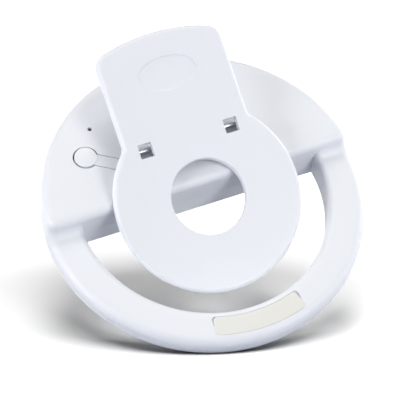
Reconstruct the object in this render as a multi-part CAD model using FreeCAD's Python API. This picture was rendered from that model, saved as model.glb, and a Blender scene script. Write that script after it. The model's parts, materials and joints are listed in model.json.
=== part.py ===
"""A clip-on selfie ring light, seen from its clip side.

Millimetres. The light shines along +Y, its clip is on the -Y side, and +Z runs
up through the battery housing. The origin is on the ring's axis, in the plane
of the lower ring's back face, which is the face that a phone is pressed to.
"""
import FreeCAD, Part

import math
import os

Vector = FreeCAD.Vector

# Ring and housing
RING_RADIUS = 42.5
RING_WIDTH = 9.5
CHORD_HEIGHT = 2.45
CHORD_LEAN = 0.5
HOUSING_RISE = 4.9
HOUSING_EDGE_RADIUS = 2.0
PARTING_DEPTH = 3.0
RING_DEPTH = 8.2
RING_OUTER_ROUNDING = 2.3
RING_INNER_ROUNDING = 1.7
FRONT_ROUNDING = 4.2
FRONT_INNER_ROUNDING = 0.8
WALL = 1.4
REVEAL_WIDTH = 0.2
REVEAL_DEPTH = 0.25

# Front channel, light board and clear cover
FLOOR_THICKNESS = 1.0
LIGHT_WALL = 3.0
LEDGE_WIDTH = 0.5
COVER_THICKNESS = 1.3
COVER_RECESS = 0.2
COVER_CLEARANCE = 0.05
COVER_EDGE_ROUNDING = 0.3
BOARD_THICKNESS = 1.0
BOARD_CLEARANCE = 0.2
LED_COUNT = 36
LED_LENGTH = 3.5
LED_WIDTH = 2.8
LED_HEIGHT = 0.7
LEDS_PER_RESISTOR = 3
CHIP_PART_LENGTH = 1.6
CHIP_PART_WIDTH = 0.8
CHIP_PART_HEIGHT = 0.45
LIP_WIDTH = 0.5
LIP_LENGTH = 1.0
LIP_CLEARANCE = 0.1
LEAD_HOLE_RADIUS = 1.6

# Anti-slip pad, let into the middle of the ring's flat back face
RING_PAD_HALF_LENGTH = 12.1
RING_PAD_WIDTH = 5.3
RING_PAD_RECESS = 0.5
RING_PAD_PROUD = 0.15
RING_PAD_CORNER = 1.0
RING_PAD_CLEARANCE = 0.05

# Hinge, measured from the origin, and the clip at rest
HINGE_ABOVE_HOUSING = 2.3
HINGE_HEIGHT = 14.9
CLIP_TILT = 22.0
PIN_RADIUS = 0.85
PIN_PRESS_CLEARANCE = 0.01
PIN_RUNNING_CLEARANCE = 0.05
PIN_OVERHANG = 0.2
KNUCKLE_RADIUS = 1.8
LUG_OFFSET = 12.0
LUG_WIDTH = 6.6
LUG_NOTCH_WIDTH = 5.4
LUG_NOTCH_DEPTH = 0.4
KNUCKLE_GAP = 0.3
EAR_WIDTH = 1.5

# Clip lever: distances along the plate are from the hinge axis
PLATE_THICKNESS = 2.0
PLATE_TO_HINGE = 2.3
DISC_RADIUS = 25.1
DISC_BELOW_HINGE = 16.75
LENS_HOLE_RADIUS = 10.05
TAB_HALF_WIDTH = 17.6
TAB_LENGTH = 28.9
TAB_TOP_RADIUS = 50.0
TAB_CORNER_RADIUS = 4.0
TAB_JOIN_RADIUS = 1.5
PLATE_EDGE_ROUNDING = 1.3
LENS_HOLE_ROUNDING = 0.4
WINDOW_SIZE = 3.8
WINDOW_BELOW_HINGE = 0.6
THUMB_HALF_LENGTH = 8.2
THUMB_HALF_WIDTH = 4.5
THUMB_ABOVE_HINGE = 17.3
THUMB_DEPTH = 0.3
THUMB_ROUNDING = 0.14

# Clip pad
CLIP_PAD_THICKNESS = 1.0
CLIP_PAD_INNER_RADIUS = 11.5
CLIP_PAD_EDGE_MARGIN = 1.6
CLIP_PAD_DROP = 0.5

# Torsion spring
WIRE_RADIUS = 0.4
COIL_RADIUS = 1.55
COIL_TURNS = 8
COIL_PITCH = 1.25
SPRING_LEG = 7.5
POINTS_PER_TURN = 48

# Power button on its flexible tongue
BUTTON_ANGLE = 143.3
BUTTON_RIM_GAP = 8.8
BUTTON_RADIUS = 2.95
BUTTON_PROUD = 0.3
BUTTON_CROWN = 0.2
BUTTON_EDGE_ROUNDING = 0.15
BUTTON_GAP = 0.4
TONGUE_LENGTH = 10.5
TONGUE_WIDTH = 3.2
TONGUE_GAP = 0.25
TONGUE_THICKNESS = 0.9
TONGUE_ANGLE = -32.7
TONGUE_ROOT_GAP = 0.15
BUTTON_POST_RADIUS = 1.0
BUTTON_SWITCH_GAP = 0.3

# Charge light
CHARGE_ANGLE = 128.7
CHARGE_RIM_GAP = 6.4
PIPE_RADIUS = 0.55
PIPE_CLEARANCE = 0.05
PIPE_RECESS = 0.5
PIPE_BOSS_RADIUS = 1.6
PIPE_BOSS_LENGTH = 2.5
CHARGE_LED_HEIGHT = 0.6
PIPE_LED_GAP = 0.2

# Control board and what is on it; an angle is counted from +X about the ring's axis, and a
# rim gap is the distance in from the housing's inner wall
CONTROL_BACK = 1.0
CONTROL_LEFT = -33.5
CONTROL_BATTERY_GAP = 4.8
CONTROL_SCREW_EDGE = 2.0
CONTROL_RIM_CLEARANCE = 0.8
SWITCH_SIZE = 4.4
SWITCH_HEIGHT = 1.0
SWITCH_BORE_DEPTH = 0.85
PLUNGER_RADIUS = 1.0
PLUNGER_CLEARANCE = 0.05
PLUNGER_STAND = 0.5
PLUNGER_ENGAGED = 0.15
BOSS_RADIUS = 1.8
SCREW_RADIUS = 0.8
SCREW_CLEARANCE = 0.04
SCREW_LENGTH = 4.0
SCREW_HEAD_RADIUS = 1.5
SCREW_HEAD_HEIGHT = 0.9
SCREW_SLOT_WIDTH = 0.4
SCREW_SLOT_DEPTH = 0.4
SCREW_ANGLES = [151.6, 114.0, 119.1]
SCREW_RIM_GAPS = [6.4, 21.4, 3.0]
CHARGER_ANGLE = 120.8
CHARGER_RIM_GAP = 13.7
CHARGER_SIZE = (4.9, 3.9, 1.5)
CHARGER_LEG_WIDTH = 0.4
CHARGER_LEG_PITCH = 1.27
CHARGER_LEG_REACH = 1.0
CHARGER_LEGS_PER_SIDE = 4
DRIVER_ANGLE = 137.3
DRIVER_RIM_GAP = 10.7
DRIVER_SIZE = (2.9, 1.6, 1.1)
PASSIVE_ANGLES = [135.7, 132.2, 129.1, 136.6, 109.8, 108.1, 116.6, 126.7]
PASSIVE_RIM_GAPS = [13.9, 12.1, 10.2, 3.3, 14.5, 12.2, 9.8, 17.7]

# Charging socket in the top of the rim
SOCKET_X = -8.0
SOCKET_WIDTH = 7.5
SOCKET_HEIGHT = 2.45
SOCKET_DEPTH = 5.2
SOCKET_SKIN = 0.25
SOCKET_FRONT_SETBACK = 0.4
SOCKET_SLOT_CLEARANCE = 0.25
SOCKET_TONGUE_WIDTH = 3.9
SOCKET_TONGUE_THICKNESS = 0.6
SOCKET_BASE_DEPTH = 1.2
SOCKET_TONGUE_SETBACK = 0.9
SOCKET_OVERHANG = 2.35
SOCKET_CORNER = 0.5

# Battery
BATTERY_LEFT = 1.6
BATTERY_BOTTOM = 6.0
BATTERY_WIDTH = 20.0
BATTERY_RIM_GAP = 2.45
BATTERY_THICKNESS = 5.0
BATTERY_ROUNDING = 1.2
TAPE_THICKNESS = 0.3
TAPE_MARGIN = 2.0
GUARD_THICKNESS = 0.8
GUARD_GAP = 0.2
GUARD_LENGTH = 18.0
GUARD_DEPTH = 3.6
FENCE_THICKNESS = 0.8
FENCE_HEIGHT = 3.0
FENCE_GAP = 0.3

# Leads
BATTERY_LEAD_RADIUS = 0.45
LED_LEAD_RADIUS = 0.4
LEAD_BEND_SHARE = 0.45
LEAD_SPACING = 6.0
LEAD_END_INSET = 2.5
LED_LEAD_SPACING = 1.6
LED_LEAD_ANGLE = 109.5
LED_LEAD_RUN = 6.45
LED_LEAD_LIFT = 0.05

# Reach past a surface, so that a cut or a join is clean, and the tolerance of a comparison
OVERLAP = 0.2
TOLERANCE = 1e-3


def from_rim(angle, gap):
    """The x and z of a place in the housing, at an angle and a distance in from its wall."""
    radius = RING_RADIUS - WALL - gap
    return radius * math.cos(math.radians(angle)), radius * math.sin(math.radians(angle))


# Worked out from the sizes above
OPENING_RADIUS = RING_RADIUS - RING_WIDTH
HOUSING_BACK = -HOUSING_RISE
FRONT_FACE = RING_DEPTH
HOUSING_FILLET = HOUSING_RISE - HOUSING_EDGE_RADIUS
CAVITY_BACK = HOUSING_BACK + WALL
CAVITY_RADIUS = RING_RADIUS - WALL
CAVITY_CHORD = CHORD_HEIGHT + WALL
GROOVE_INNER = OPENING_RADIUS + WALL
HINGE_Y = HOUSING_BACK - HINGE_ABOVE_HOUSING
LEDGE_FACE = FRONT_FACE - COVER_RECESS - COVER_THICKNESS
BOARD_BACK = PARTING_DEPTH + FLOOR_THICKNESS
BOARD_FRONT = BOARD_BACK + BOARD_THICKNESS
COVER_OUTER = RING_RADIUS - LIGHT_WALL
CHANNEL_INNER = GROOVE_INNER + LEDGE_WIDTH
CHANNEL_OUTER = COVER_OUTER - LEDGE_WIDTH
LED_RING_RADIUS = (CHANNEL_INNER + CHANNEL_OUTER) / 2.0
RING_PAD_MIDDLE = (OPENING_RADIUS + RING_INNER_ROUNDING + RING_RADIUS - RING_OUTER_ROUNDING) / 2.0
BUTTON_X, BUTTON_Z = from_rim(BUTTON_ANGLE, BUTTON_RIM_GAP)
CHARGE_X, CHARGE_Z = from_rim(CHARGE_ANGLE, CHARGE_RIM_GAP)
SCREW_PLACES = [from_rim(angle, gap) for angle, gap in zip(SCREW_ANGLES, SCREW_RIM_GAPS)]
PASSIVE_PLACES = [from_rim(angle, gap) for angle, gap in zip(PASSIVE_ANGLES, PASSIVE_RIM_GAPS)]
CONTROL_FRONT = CONTROL_BACK + BOARD_THICKNESS
SWITCH_FACE = CONTROL_BACK - SWITCH_HEIGHT
PLUNGER_FACE = SWITCH_FACE - PLUNGER_STAND
BATTERY_BACK = CAVITY_BACK + TAPE_THICKNESS
BATTERY_FRONT = BATTERY_BACK + BATTERY_THICKNESS
BATTERY_TOP = BATTERY_BOTTOM + BATTERY_WIDTH
BATTERY_RIGHT = math.sqrt((CAVITY_RADIUS - BATTERY_RIM_GAP) ** 2 - BATTERY_TOP ** 2)
CONTROL_RIGHT = BATTERY_LEFT - CONTROL_BATTERY_GAP
CONTROL_BOTTOM = min(z for x, z in SCREW_PLACES) - CONTROL_SCREW_EDGE
PLATE_INNER = -PLATE_TO_HINGE
PLATE_OUTER = PLATE_INNER - PLATE_THICKNESS
SOCKET_FRONT = math.sqrt(RING_RADIUS ** 2 - SOCKET_X ** 2) - WALL / 2.0 - SOCKET_FRONT_SETBACK / 2.0
SOCKET_BACK = CONTROL_BACK - SOCKET_HEIGHT
CONTROL_TOP = SOCKET_FRONT - SOCKET_OVERHANG
FAR = 4.0 * RING_RADIUS


def disc(radius, y_from, y_to, x=0.0, z=0.0):
    """A round plate or rod along Y."""
    return Part.makeCylinder(radius, y_to - y_from, Vector(x, y_from, z), Vector(0, 1, 0))


def ring(inner, outer, y_from, y_to):
    """A flat ring about the light's axis."""
    return disc(outer, y_from, y_to).cut(disc(inner, y_from - OVERLAP, y_to + OVERLAP))


def block(x_from, x_to, y_from, y_to, z_from, z_to):
    """A rectangular block between two corners."""
    return Part.makeBox(x_to - x_from, y_to - y_from, z_to - z_from, Vector(x_from, y_from, z_from))


def rod_x(radius, x_from, x_to, y=0.0, z=0.0):
    """A round rod along X."""
    return Part.makeCylinder(radius, x_to - x_from, Vector(x_from, y, z), Vector(1, 0, 0))


def prism(edges, reach):
    """The solid swept by a flat outline along one straight reach."""
    outline = Part.Wire([edge.toShape() for edge in edges])
    return Part.Face(outline).extrude(reach)


def upper_segment(radius, chord, y_from, y_to):
    """The part of a round plate that lies above a chord."""
    half = math.sqrt(radius ** 2 - chord ** 2)
    left = Vector(-half, y_from, chord)
    right = Vector(half, y_from, chord)
    top = Vector(0, y_from, radius)
    return prism([Part.Arc(left, top, right), Part.LineSegment(right, left)], Vector(0, y_to - y_from, 0))


def opening(y_from, y_to):
    """The D-shaped opening below the housing."""
    half = math.sqrt(OPENING_RADIUS ** 2 - CHORD_HEIGHT ** 2)
    left = Vector(-half, y_from, CHORD_HEIGHT)
    right = Vector(half, y_from, CHORD_HEIGHT)
    low = Vector(0, y_from, -OPENING_RADIUS)
    return prism([Part.Arc(left, low, right), Part.LineSegment(right, left)], Vector(0, y_to - y_from, 0))


def front_opening():
    """The opening through the front frame, whose wall below the housing leans down to the front."""
    slope = CHORD_LEAN / (FRONT_FACE - PARTING_DEPTH)
    side = -FAR / 2.0
    back_top = Vector(side, 0, CHORD_HEIGHT + slope * PARTING_DEPTH)
    front_top = Vector(side, FAR, CHORD_HEIGHT - slope * (FAR - PARTING_DEPTH))
    front_low = Vector(side, FAR, side)
    back_low = Vector(side, 0, side)
    below = prism([
        Part.LineSegment(back_top, front_top),
        Part.LineSegment(front_top, front_low),
        Part.LineSegment(front_low, back_low),
        Part.LineSegment(back_low, back_top),
    ], Vector(FAR, 0, 0))
    return disc(OPENING_RADIUS, 0, FAR).common(below)


def edges_at_radius(shape, radius, y_below):
    """Edges that lie on a cylinder about the light's axis, behind a given depth."""
    found = []
    for edge in shape.Edges:
        step = (edge.LastParameter - edge.FirstParameter) / 4.0
        points = [edge.valueAt(edge.FirstParameter + step * index) for index in range(5)]
        on_cylinder = all(abs(math.hypot(point.x, point.z) - radius) < TOLERANCE for point in points)
        behind = all(point.y < y_below for point in points)
        heights = [point.z for point in points]
        if on_cylinder and behind and max(heights) - min(heights) > OVERLAP:
            found.append(edge)
    return found


def along_depth(edge):
    """Whether an edge is a straight one along Y."""
    box = edge.BoundBox
    return box.YLength > TOLERANCE and box.XLength < TOLERANCE and box.ZLength < TOLERANCE


def lies_at(edge, y):
    """Whether an edge lies flat at a depth."""
    box = edge.BoundBox
    return box.YLength < TOLERANCE and abs(box.YMin - y) < TOLERANCE


def round_edges(shape, radius, wanted):
    """Round the edges that a test picks."""
    return shape.makeFillet(radius, [edge for edge in shape.Edges if wanted(edge)])


def placed_on_clip(shape):
    """Carry a shape from the flat plate's own axes to the tilted clip."""
    moved = shape.copy()
    turn = FreeCAD.Rotation(Vector(1, 0, 0), CLIP_TILT)
    moved.Placement = FreeCAD.Placement(Vector(0, HINGE_Y, HINGE_HEIGHT), turn)
    return moved


def tube(points, radius):
    """A lead: straight runs joined by tangent arcs, each as large as its runs allow."""
    edges = []
    start = points[0]
    for index in range(1, len(points) - 1):
        before = points[index - 1]
        corner = points[index]
        after = points[index + 1]
        into = (before - corner).normalize()
        away = (after - corner).normalize()
        reach = LEAD_BEND_SHARE * min(before.distanceToPoint(corner), after.distanceToPoint(corner))
        first = corner + into * reach
        last = corner + away * reach
        half_angle = into.getAngle(away) / 2.0
        bisector = (into + away).normalize()
        centre = corner + bisector * (reach / math.cos(half_angle))
        middle = centre - bisector * (reach * math.tan(half_angle))
        edges.append(Part.LineSegment(start, first).toShape())
        edges.append(Part.Arc(first, middle, last).toShape())
        start = last
    edges.append(Part.LineSegment(start, points[-1]).toShape())
    heading = points[1] - points[0]
    section = Part.Wire(Part.makeCircle(radius, points[0], heading))
    return Part.Wire(edges).makePipeShell([section], True, False).Solids[0]


def rear_shape():
    """The rear cover's outside: lower ring, swept step and raised housing."""
    chord = CHORD_HEIGHT
    fillet = HOUSING_FILLET
    edge = HOUSING_EDGE_RADIUS
    slant = math.sqrt(0.5)
    side = -FAR / 2.0
    low = Vector(side, PARTING_DEPTH, side)
    low_back = Vector(side, 0, side)
    step_foot = Vector(side, 0, chord - fillet)
    step_middle = Vector(side, -fillet + fillet * slant, chord - fillet + fillet * slant)
    step_knee = Vector(side, -fillet, chord)
    edge_middle = Vector(side, HOUSING_BACK + edge - edge * slant, chord + edge - edge * slant)
    edge_top = Vector(side, HOUSING_BACK, chord + edge)
    high_back = Vector(side, HOUSING_BACK, -side)
    high = Vector(side, PARTING_DEPTH, -side)
    profile = [
        Part.LineSegment(low, low_back),
        Part.LineSegment(low_back, step_foot),
        Part.Arc(step_foot, step_middle, step_knee),
        Part.Arc(step_knee, edge_middle, edge_top),
        Part.LineSegment(edge_top, high_back),
        Part.LineSegment(high_back, high),
        Part.LineSegment(high, low),
    ]
    stepped = prism(profile, Vector(FAR, 0, 0))
    shape = stepped.common(disc(RING_RADIUS, HOUSING_BACK - OVERLAP, PARTING_DEPTH))
    rim = edges_at_radius(shape, RING_RADIUS, PARTING_DEPTH - OVERLAP)
    shape = shape.makeFillet(RING_OUTER_ROUNDING, rim)
    shape = shape.cut(opening(-FAR / 2.0, FAR / 2.0))
    inner = edges_at_radius(shape, OPENING_RADIUS, PARTING_DEPTH - OVERLAP)
    return shape.makeFillet(RING_INNER_ROUNDING, inner)


def tongue_direction():
    """Unit direction from the button to the root of its tongue."""
    angle = math.radians(TONGUE_ANGLE)
    return Vector(math.cos(angle), 0, math.sin(angle))


def tongue_block(width, length, y_from, y_to):
    """A strip from the button's centre towards the tongue's root."""
    strip = block(0, length, y_from, y_to, -width / 2.0, width / 2.0)
    turn = FreeCAD.Rotation(Vector(0, 1, 0), -TONGUE_ANGLE)
    strip.Placement = FreeCAD.Placement(Vector(BUTTON_X, 0, BUTTON_Z), turn)
    return strip


def pad_outline(margin, y_from, y_to):
    """The curved strip of the ring pad, grown by a margin."""
    inner = RING_PAD_MIDDLE - RING_PAD_WIDTH / 2.0 - margin
    outer = RING_PAD_MIDDLE + RING_PAD_WIDTH / 2.0 + margin
    half = RING_PAD_HALF_LENGTH + margin
    strip = ring(inner, outer, y_from, y_to).common(block(-half, half, y_from, y_to, -RING_RADIUS, 0))
    return round_edges(strip, RING_PAD_CORNER + margin, along_depth)


def knuckle(x_from, x_to, y_root):
    """A hinge knuckle about X at the origin, standing on a surface at y_root."""
    barrel = rod_x(KNUCKLE_RADIUS, x_from, x_to)
    low, high = sorted((y_root, 0.0))
    return barrel.fuse(block(x_from, x_to, low, high, -KNUCKLE_RADIUS, KNUCKLE_RADIUS))


def make_rear_cover():
    """Rear cover, hollow, with its lugs, bosses, fences and openings."""
    cover = rear_shape()
    cover = cover.cut(upper_segment(CAVITY_RADIUS, CAVITY_CHORD, CAVITY_BACK, PARTING_DEPTH + OVERLAP))
    cover = cover.cut(ring(GROOVE_INNER, CAVITY_RADIUS, WALL, PARTING_DEPTH + OVERLAP))
    reveal = ring(RING_RADIUS - REVEAL_DEPTH, RING_RADIUS + WALL, PARTING_DEPTH - REVEAL_WIDTH,
                  PARTING_DEPTH + OVERLAP)
    cover = cover.cut(reveal)
    for x, z in SCREW_PLACES:
        cover = cover.fuse(disc(BOSS_RADIUS, CAVITY_BACK - OVERLAP, CONTROL_BACK, x, z))
    cover = cover.fuse(disc(PIPE_BOSS_RADIUS, CAVITY_BACK - OVERLAP, CAVITY_BACK + PIPE_BOSS_LENGTH,
                            CHARGE_X, CHARGE_Z))
    centre_x = (BATTERY_LEFT + BATTERY_RIGHT) / 2.0
    centre_z = (BATTERY_BOTTOM + BATTERY_TOP) / 2.0
    fence_front = CAVITY_BACK + FENCE_HEIGHT
    half_x = (BATTERY_RIGHT - BATTERY_LEFT) / 3.0
    half_z = BATTERY_WIDTH / 3.0
    cover = cover.fuse(block(centre_x - half_x, centre_x + half_x, CAVITY_BACK - OVERLAP, fence_front,
                             BATTERY_TOP + FENCE_GAP, BATTERY_TOP + FENCE_GAP + FENCE_THICKNESS))
    cover = cover.fuse(block(BATTERY_RIGHT + FENCE_GAP, BATTERY_RIGHT + FENCE_GAP + FENCE_THICKNESS,
                             CAVITY_BACK - OVERLAP, fence_front, centre_z - half_z, centre_z + half_z))
    for side in (-1, 1):
        centre = side * LUG_OFFSET
        lug = knuckle(centre - LUG_WIDTH / 2.0, centre + LUG_WIDTH / 2.0, HINGE_ABOVE_HOUSING + OVERLAP)
        notch = block(centre - LUG_NOTCH_WIDTH / 2.0, centre + LUG_NOTCH_WIDTH / 2.0, -KNUCKLE_RADIUS - OVERLAP,
                      PIN_RADIUS + LUG_NOTCH_DEPTH, -KNUCKLE_RADIUS - OVERLAP, KNUCKLE_RADIUS + OVERLAP)
        lug = lug.cut(notch)
        lug.translate(Vector(0, HINGE_Y, HINGE_HEIGHT))
        cover = cover.fuse(lug)
    bore = rod_x(PIN_RADIUS + PIN_PRESS_CLEARANCE, -RING_RADIUS, RING_RADIUS, HINGE_Y, HINGE_HEIGHT)
    cover = cover.cut(bore)
    for x, z in SCREW_PLACES:
        cover = cover.cut(disc(SCREW_RADIUS + SCREW_CLEARANCE, CONTROL_FRONT - SCREW_LENGTH - OVERLAP,
                               CONTROL_BACK + OVERLAP, x, z))
    cover = cover.cut(disc(PIPE_RADIUS + PIPE_CLEARANCE, HOUSING_BACK - OVERLAP, CONTROL_BACK,
                           CHARGE_X, CHARGE_Z))
    hole = disc(BUTTON_RADIUS + BUTTON_GAP, HOUSING_BACK - OVERLAP, CAVITY_BACK + OVERLAP, BUTTON_X, BUTTON_Z)
    slot = tongue_block(TONGUE_WIDTH + 2.0 * TONGUE_GAP, TONGUE_LENGTH + TONGUE_ROOT_GAP,
                        HOUSING_BACK - OVERLAP, CAVITY_BACK + OVERLAP)
    cover = cover.cut(hole.fuse(slot))
    cover = cover.cut(pad_outline(RING_PAD_CLEARANCE, -OVERLAP, RING_PAD_RECESS))
    half = SOCKET_WIDTH / 2.0 + SOCKET_SLOT_CLEARANCE
    cover = cover.cut(block(SOCKET_X - half, SOCKET_X + half, SOCKET_BACK - SOCKET_SLOT_CLEARANCE,
                            CONTROL_BACK + SOCKET_SLOT_CLEARANCE, SOCKET_FRONT - SOCKET_DEPTH,
                            RING_RADIUS + OVERLAP))
    return cover.removeSplitter()


def make_front_frame():
    """Front frame: a channel for the light board, closed over the housing by a flat plate."""
    frame = disc(RING_RADIUS, PARTING_DEPTH, FRONT_FACE)
    frame = round_edges(frame, FRONT_ROUNDING, lambda edge: lies_at(edge, FRONT_FACE))
    frame = frame.cut(front_opening())

    def front_inner(edge):
        return lies_at(edge, FRONT_FACE) and edge.BoundBox.ZMax < OPENING_RADIUS - FRONT_ROUNDING

    frame = round_edges(frame, FRONT_INNER_ROUNDING, front_inner)
    frame = frame.cut(ring(CHANNEL_INNER, CHANNEL_OUTER, BOARD_BACK, FAR))
    frame = frame.cut(ring(GROOVE_INNER, COVER_OUTER, LEDGE_FACE, FAR))
    frame = frame.cut(upper_segment(OPENING_RADIUS, CAVITY_CHORD, PARTING_DEPTH - OVERLAP, FRONT_FACE - WALL))
    lip_outer = CAVITY_RADIUS - LIP_CLEARANCE
    frame = frame.fuse(ring(lip_outer - LIP_WIDTH, lip_outer, PARTING_DEPTH - LIP_LENGTH,
                            PARTING_DEPTH + OVERLAP))
    lead_x, lead_z = lead_hole_place()
    frame = frame.cut(disc(LEAD_HOLE_RADIUS, PARTING_DEPTH - OVERLAP, BOARD_BACK + OVERLAP, lead_x, lead_z))
    return frame.removeSplitter()


def lead_hole_place():
    """Where the two light leads pass through the channel's floor."""
    angle = math.radians(LED_LEAD_ANGLE)
    return LED_RING_RADIUS * math.cos(angle), LED_RING_RADIUS * math.sin(angle)


def make_light_cover():
    """The clear ring that covers the light board."""
    cover = ring(GROOVE_INNER + COVER_CLEARANCE, COVER_OUTER - COVER_CLEARANCE, LEDGE_FACE,
                 LEDGE_FACE + COVER_THICKNESS)
    return round_edges(cover, COVER_EDGE_ROUNDING, lambda edge: lies_at(edge, LEDGE_FACE + COVER_THICKNESS))


def make_light_board():
    """The ring board that carries the light sources."""
    return ring(CHANNEL_INNER + BOARD_CLEARANCE, CHANNEL_OUTER - BOARD_CLEARANCE, BOARD_BACK, BOARD_FRONT)


def around_ring(piece, count, first_angle):
    """Copies of a piece that stands on the light board at angle 0, spaced evenly."""
    copies = []
    for index in range(count):
        copy = piece.copy()
        copy.rotate(Vector(0, 0, 0), Vector(0, 1, 0), -(first_angle + 360.0 * index / count))
        copies.append(copy)
    return Part.makeCompound(copies)


def make_leds():
    """The light sources, all alike."""
    led = block(LED_RING_RADIUS - LED_WIDTH / 2.0, LED_RING_RADIUS + LED_WIDTH / 2.0, BOARD_FRONT,
                BOARD_FRONT + LED_HEIGHT, -LED_LENGTH / 2.0, LED_LENGTH / 2.0)
    return around_ring(led, LED_COUNT, 0.0)


def make_led_resistors():
    """Small resistors between every few light sources."""
    part = block(LED_RING_RADIUS - CHIP_PART_LENGTH / 2.0, LED_RING_RADIUS + CHIP_PART_LENGTH / 2.0,
                 BOARD_FRONT, BOARD_FRONT + CHIP_PART_HEIGHT, -CHIP_PART_WIDTH / 2.0, CHIP_PART_WIDTH / 2.0)
    return around_ring(part, LED_COUNT // LEDS_PER_RESISTOR, 180.0 / LED_COUNT)


def make_ring_pad():
    """Anti-slip pad let into the bottom of the ring."""
    return pad_outline(0.0, -RING_PAD_PROUD, RING_PAD_RECESS)


def make_control_board():
    """Control board, cut to follow the rim, with its screw holes."""
    board = block(CONTROL_LEFT, CONTROL_RIGHT, CONTROL_BACK, CONTROL_FRONT, CONTROL_BOTTOM, CONTROL_TOP)
    board = board.common(disc(CAVITY_RADIUS - CONTROL_RIM_CLEARANCE, CONTROL_BACK, CONTROL_FRONT))
    for x, z in SCREW_PLACES:
        board = board.cut(disc(SCREW_RADIUS + SCREW_CLEARANCE, CONTROL_BACK - OVERLAP,
                               CONTROL_FRONT + OVERLAP, x, z))
    return board


def on_board(place, size):
    """A small part lying on the front of the control board."""
    x, z = place
    length, width, height = size
    return block(x - length / 2.0, x + length / 2.0, CONTROL_FRONT, CONTROL_FRONT + height,
                 z - width / 2.0, z + width / 2.0)


def make_charger_chip():
    """Charge controller with eight gull-wing legs."""
    length, width, height = CHARGER_SIZE
    x, z = from_rim(CHARGER_ANGLE, CHARGER_RIM_GAP)
    chip = on_board((x, z), CHARGER_SIZE)
    half = CHARGER_LEG_WIDTH / 2.0
    for index in range(CHARGER_LEGS_PER_SIDE):
        middle = x + (index - (CHARGER_LEGS_PER_SIDE - 1) / 2.0) * CHARGER_LEG_PITCH
        for side in (-1, 1):
            near, far = sorted((z + side * width / 2.0, z + side * (width / 2.0 + CHARGER_LEG_REACH)))
            chip = chip.fuse(block(middle - half, middle + half, CONTROL_FRONT, CONTROL_FRONT + height / 3.0,
                                   near, far))
    return chip.removeSplitter()


def make_passives():
    """Resistors and capacitors on the control board."""
    size = (CHIP_PART_LENGTH, CHIP_PART_WIDTH, CHIP_PART_HEIGHT)
    return Part.makeCompound([on_board(place, size) for place in PASSIVE_PLACES])


def make_board_screws():
    """Self-tapping screws that hold the control board on its bosses."""
    screws = []
    for x, z in SCREW_PLACES:
        shank = disc(SCREW_RADIUS, CONTROL_FRONT - SCREW_LENGTH, CONTROL_FRONT + OVERLAP, x, z)
        head = disc(SCREW_HEAD_RADIUS, CONTROL_FRONT, CONTROL_FRONT + SCREW_HEAD_HEIGHT, x, z)
        slot_from = CONTROL_FRONT + SCREW_HEAD_HEIGHT - SCREW_SLOT_DEPTH
        slot = block(x - SCREW_HEAD_RADIUS, x + SCREW_HEAD_RADIUS, slot_from, CONTROL_FRONT + WALL,
                     z - SCREW_SLOT_WIDTH / 2.0, z + SCREW_SLOT_WIDTH / 2.0)
        screws.append(shank.fuse(head).cut(slot).removeSplitter())
    return Part.makeCompound(screws)


def make_charge_led():
    """Charge light on the back of the control board."""
    return block(CHARGE_X - CHIP_PART_LENGTH / 2.0, CHARGE_X + CHIP_PART_LENGTH / 2.0,
                 CONTROL_BACK - CHARGE_LED_HEIGHT, CONTROL_BACK,
                 CHARGE_Z - CHIP_PART_WIDTH / 2.0, CHARGE_Z + CHIP_PART_WIDTH / 2.0)


def make_light_pipe():
    """Clear rod that carries the charge light to the pinhole."""
    return disc(PIPE_RADIUS, HOUSING_BACK + PIPE_RECESS, CONTROL_BACK - CHARGE_LED_HEIGHT - PIPE_LED_GAP,
                CHARGE_X, CHARGE_Z)


def make_switch_body():
    """Tact switch body with its plunger bore."""
    half = SWITCH_SIZE / 2.0
    body = block(BUTTON_X - half, BUTTON_X + half, SWITCH_FACE, CONTROL_BACK, BUTTON_Z - half, BUTTON_Z + half)
    bore = disc(PLUNGER_RADIUS + PLUNGER_CLEARANCE, SWITCH_FACE - OVERLAP, SWITCH_FACE + SWITCH_BORE_DEPTH,
                BUTTON_X, BUTTON_Z)
    return body.cut(bore)


def make_switch_plunger():
    """The plunger that the button's post presses."""
    return disc(PLUNGER_RADIUS, PLUNGER_FACE, SWITCH_FACE + PLUNGER_ENGAGED, BUTTON_X, BUTTON_Z)


def make_power_button():
    """Round button, its flexible tongue and the post behind it, in one moulding."""
    back = HOUSING_BACK
    rim = back - BUTTON_PROUD
    top = rim - BUTTON_CROWN
    crown_radius = (BUTTON_RADIUS ** 2 + BUTTON_CROWN ** 2) / (2.0 * BUTTON_CROWN)
    ball = Part.makeSphere(crown_radius, Vector(BUTTON_X, top + crown_radius, BUTTON_Z))
    cap = disc(BUTTON_RADIUS, top - OVERLAP, CAVITY_BACK, BUTTON_X, BUTTON_Z).common(ball)
    cap = round_edges(cap, BUTTON_EDGE_ROUNDING, lambda edge: lies_at(edge, rim))
    tongue = tongue_block(TONGUE_WIDTH, TONGUE_LENGTH, back, back + TONGUE_THICKNESS)
    post_end = PLUNGER_FACE - BUTTON_SWITCH_GAP
    post = disc(BUTTON_POST_RADIUS, CAVITY_BACK - OVERLAP, post_end, BUTTON_X, BUTTON_Z)
    return cap.fuse(tongue).fuse(post).removeSplitter()


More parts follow.
